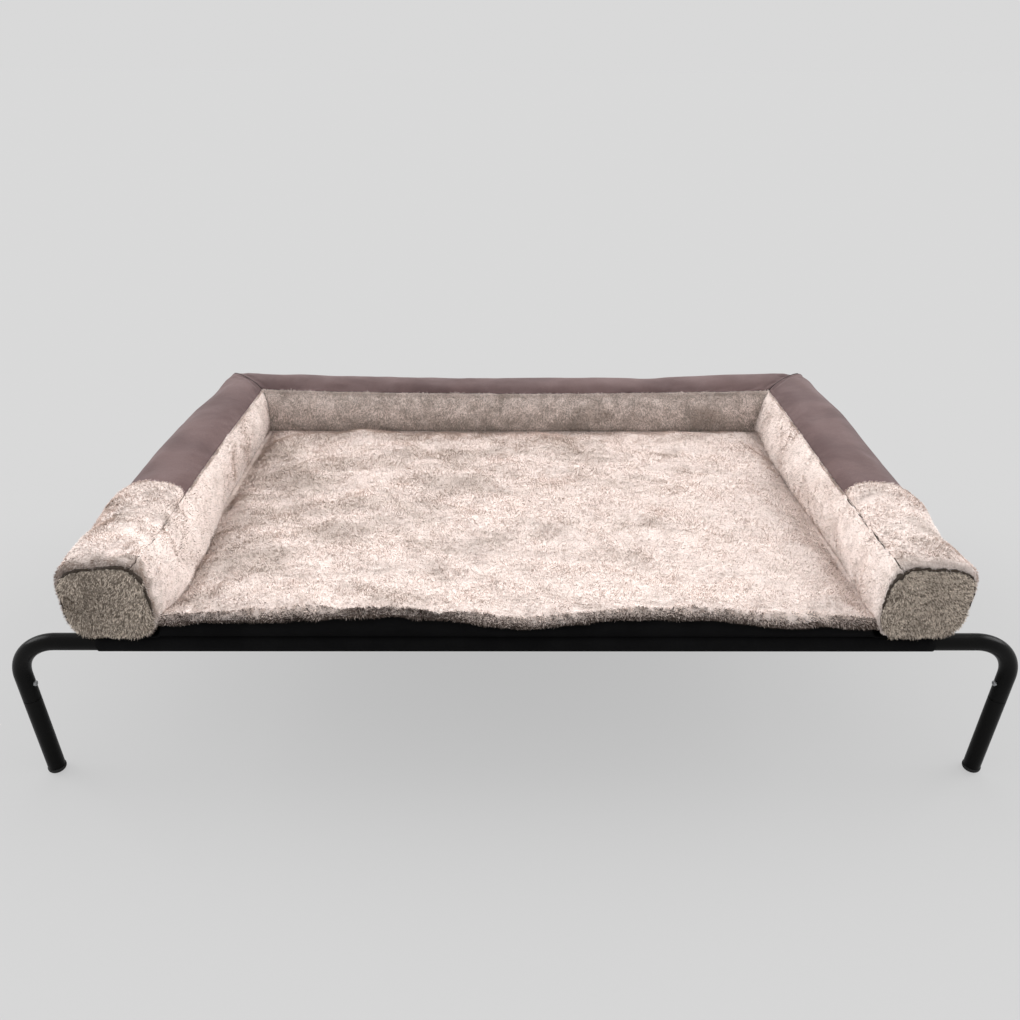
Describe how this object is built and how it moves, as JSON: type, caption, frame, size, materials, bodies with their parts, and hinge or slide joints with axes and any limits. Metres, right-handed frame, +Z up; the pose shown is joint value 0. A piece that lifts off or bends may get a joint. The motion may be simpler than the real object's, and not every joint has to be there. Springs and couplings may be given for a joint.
{
  "type": "raised pet bed",
  "caption": "Raised pet bed: bent steel tube frame with plug-in legs and a stretched sling, carrying a padded plush mat with bolsters on the back and both sides.",
  "frame": {"origin": "on the floor under the middle of the frame", "axes": "+X to the right along the length, +Y to the back, +Z up; the open front faces -Y"},
  "size_m": [1.2976, 0.7026, 0.3511],
  "materials": {
    "powder_coat": "satin black powder coat",
    "foot_rubber": "matt black rubber",
    "zinc": "bright zinc plate",
    "spring_steel": "oiled spring steel",
    "sling_mesh": "black woven mesh",
    "base_cloth": "charcoal woven base cloth",
    "suede": "taupe short-nap suede cloth",
    "plush": "mottled cream and grey long-pile plush",
    "fibre": "white polyester fibre, hidden"
  },
  "bodies": {
    "frame": {"front_rail": "powder_coat", "rear_rail": "powder_coat", "left_cross_tube": "powder_coat", "right_cross_tube": "powder_coat", "leg_front_left": "powder_coat", "foot_plug_front_left": "foot_rubber", "button_spring_front_left": "spring_steel", "cross_bolt_front_left": "zinc", "cross_stub_front_left": "powder_coat", "leg_front_right": "powder_coat", "foot_plug_front_right": "foot_rubber", "button_spring_front_right": "spring_steel", "cross_bolt_front_right": "zinc", "cross_stub_front_right": "powder_coat", "leg_rear_left": "powder_coat", "foot_plug_rear_left": "foot_rubber", "button_spring_rear_left": "spring_steel", "cross_bolt_rear_left": "zinc", "cross_stub_rear_left": "powder_coat", "leg_rear_right": "powder_coat", "foot_plug_rear_right": "foot_rubber", "button_spring_rear_right": "spring_steel", "cross_bolt_rear_right": "zinc", "cross_stub_rear_right": "powder_coat", "sling": "sling_mesh"},
    "pad": {"base_panel": "base_cloth", "mat_fill": "fibre", "mat_plush": "plush", "left_bolster_fill": "fibre", "left_bolster_suede": "suede", "left_inner_plush": "plush", "right_bolster_fill": "fibre", "right_bolster_suede": "suede", "right_inner_plush": "plush", "back_bolster_fill": "fibre", "back_bolster_suede": "suede", "back_inner_plush": "plush", "left_arm_plush": "plush", "left_end_cap": "plush", "right_arm_plush": "plush", "right_end_cap": "plush"},
    "button_front_left": {"snap_button_front_left": "zinc"},
    "button_front_right": {"snap_button_front_right": "zinc"},
    "button_rear_left": {"snap_button_rear_left": "zinc"},
    "button_rear_right": {"snap_button_rear_right": "zinc"}
  },
  "joints": [
    {"name": "pad_lift", "type": "slide", "parent": "frame", "child": "pad", "axis": [0, 0, 1], "range_m": [0, 0.3]},
    {"name": "press_button_front_left", "type": "slide", "parent": "frame", "child": "button_front_left", "axis": [-1, 0, 0], "range_m": [0, 0.003], "stiffness_N_per_m": 1500, "springref_m": -0.002},
    {"name": "press_button_front_right", "type": "slide", "parent": "frame", "child": "button_front_right", "axis": [1, 0, 0], "range_m": [0, 0.003], "stiffness_N_per_m": 1500, "springref_m": -0.002},
    {"name": "press_button_rear_left", "type": "slide", "parent": "frame", "child": "button_rear_left", "axis": [-1, 0, 0], "range_m": [0, 0.003], "stiffness_N_per_m": 1500, "springref_m": -0.002},
    {"name": "press_button_rear_right", "type": "slide", "parent": "frame", "child": "button_rear_right", "axis": [1, 0, 0], "range_m": [0, 0.003], "stiffness_N_per_m": 1500, "springref_m": -0.002}
  ]
}
